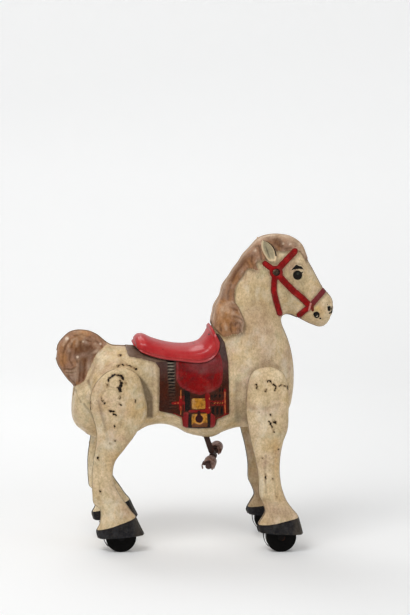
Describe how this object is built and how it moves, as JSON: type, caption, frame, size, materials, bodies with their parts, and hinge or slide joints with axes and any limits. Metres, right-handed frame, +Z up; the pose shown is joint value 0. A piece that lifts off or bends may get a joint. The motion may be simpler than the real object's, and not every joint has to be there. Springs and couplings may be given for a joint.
{
  "type": "pedal horse",
  "caption": "Pressed-steel ride-on walking horse with bridle, saddle seat and hoof rollers; pushing the cross bar under the belly swings the front and rear leg pairs apart, springs return them.",
  "frame": {"origin": "on the floor under the middle of the horse's bounding box", "axes": "+X forward (the way the head faces), +Y to the horse's left, +Z up"},
  "size_m": [0.6738, 0.2408, 0.762],
  "materials": {
    "cream_paint": "worn cream paint with chips and fine cracks",
    "red_enamel": "glossy red enamel",
    "dark_bronze": "dark aged brass",
    "plain_steel": "plain mild steel",
    "spring_steel": "oiled spring wire",
    "black_bracket": "satin black paint",
    "black_rubber": "black moulded rubber",
    "rusty_steel": "dark paint, rusted and rubbed"
  },
  "bodies": {
    "horse_body": {"body_shell_right": "cream_paint", "body_shell_left": "cream_paint", "saddle_seat": "red_enamel", "seat_stud_rear": "plain_steel", "seat_stud_front": "plain_steel", "ear_right": "cream_paint", "ear_left": "cream_paint", "bridle_rosette_right": "dark_bronze", "bridle_rosette_left": "dark_bronze", "rein_eyelet_right": "dark_bronze", "rein_eyelet_left": "dark_bronze", "chassis_rail_right": "plain_steel", "chassis_rail_left": "plain_steel", "pedal_shaft": "plain_steel", "front_spring_bolt": "plain_steel", "rear_spring_bolt": "plain_steel", "shoulder_bush_right": "dark_bronze", "shoulder_bush_left": "dark_bronze", "hip_bush_right": "dark_bronze", "hip_bush_left": "dark_bronze", "front_spring": "spring_steel", "rear_spring": "spring_steel"},
    "fore_legs": {"shoulder_shaft": "plain_steel", "fore_hub_right": "plain_steel", "fore_leg_right_outer": "cream_paint", "fore_leg_right_inner": "cream_paint", "fore_bracket_right": "black_bracket", "fore_axle_right": "plain_steel", "fore_hub_left": "plain_steel", "fore_leg_left_outer": "cream_paint", "fore_leg_left_inner": "cream_paint", "fore_bracket_left": "black_bracket", "fore_axle_left": "plain_steel", "shoulder_crank": "plain_steel", "shoulder_crank_rivet": "plain_steel"},
    "hind_legs": {"hip_shaft": "plain_steel", "hind_hub_right": "plain_steel", "hind_leg_right_outer": "cream_paint", "hind_leg_right_inner": "cream_paint", "hind_bracket_right": "black_bracket", "hind_axle_right": "plain_steel", "hind_hub_left": "plain_steel", "hind_leg_left_outer": "cream_paint", "hind_leg_left_inner": "cream_paint", "hind_bracket_left": "black_bracket", "hind_axle_left": "plain_steel", "hip_crank": "plain_steel", "hip_crank_rivet": "plain_steel"},
    "pedals": {"pedal_lever": "rusty_steel", "lever_front_rivet": "plain_steel", "lever_rear_rivet": "plain_steel", "pedal_bar": "rusty_steel", "footrest_right": "rusty_steel", "footrest_left": "rusty_steel"},
    "front_link": {"front_link": "plain_steel"},
    "rear_link": {"rear_link": "plain_steel"},
    "fore_roller_right": {"fore_wheel_right": "black_rubber"},
    "fore_roller_left": {"fore_wheel_left": "black_rubber"},
    "hind_roller_right": {"hind_wheel_right": "black_rubber"},
    "hind_roller_left": {"hind_wheel_left": "black_rubber"}
  },
  "joints": [
    {"name": "fore_legs_swing", "type": "hinge", "parent": "horse_body", "child": "fore_legs", "pos_m": [0.157, 0, 0.383], "axis": [0, 1, 0], "range_deg": [-12, 0], "stiffness_Nm_per_rad": 20, "springref_deg": 14.32, "deforming": ["front_spring"]},
    {"name": "hind_legs_swing", "type": "hinge", "parent": "horse_body", "child": "hind_legs", "pos_m": [-0.203, 0, 0.387], "axis": [0, 1, 0], "range_deg": [0, 12], "stiffness_Nm_per_rad": 20, "springref_deg": -14.32, "deforming": ["rear_spring"]},
    {"name": "pedal_push", "type": "hinge", "parent": "horse_body", "child": "pedals", "pos_m": [0.008, 0, 0.335], "axis": [0, 1, 0], "range_deg": [-12, 0]},
    {"name": "front_link_turn", "type": "hinge", "parent": "pedals", "child": "front_link", "pos_m": [0.02157, 0, 0.29737], "axis": [0, 1, 0], "range_deg": [0, 12]},
    {"name": "rear_link_turn", "type": "hinge", "parent": "pedals", "child": "rear_link", "pos_m": [0.01072, 0, 0.36086], "axis": [0, 1, 0], "range_deg": [0, 12]},
    {"name": "fore_roller_right_spin", "type": "hinge", "parent": "fore_legs", "child": "fore_roller_right", "pos_m": [0.211, -0.095, 0.03668], "axis": [0, 1, 0], "continuous": true},
    {"name": "fore_roller_left_spin", "type": "hinge", "parent": "fore_legs", "child": "fore_roller_left", "pos_m": [0.211, 0.095, 0.03668], "axis": [0, 1, 0], "continuous": true},
    {"name": "hind_roller_right_spin", "type": "hinge", "parent": "hind_legs", "child": "hind_roller_right", "pos_m": [-0.176, -0.095, 0.03668], "axis": [0, 1, 0], "continuous": true},
    {"name": "hind_roller_left_spin", "type": "hinge", "parent": "hind_legs", "child": "hind_roller_left", "pos_m": [-0.176, 0.095, 0.03668], "axis": [0, 1, 0], "continuous": true}
  ],
  "couplings": [
    {"joint": "hind_legs_swing", "follows": "fore_legs_swing", "ratio": -1},
    {"joint": "pedal_push", "follows": "fore_legs_swing", "ratio": 1},
    {"joint": "front_link_turn", "follows": "fore_legs_swing", "ratio": -1},
    {"joint": "rear_link_turn", "follows": "fore_legs_swing", "ratio": -1}
  ]
}
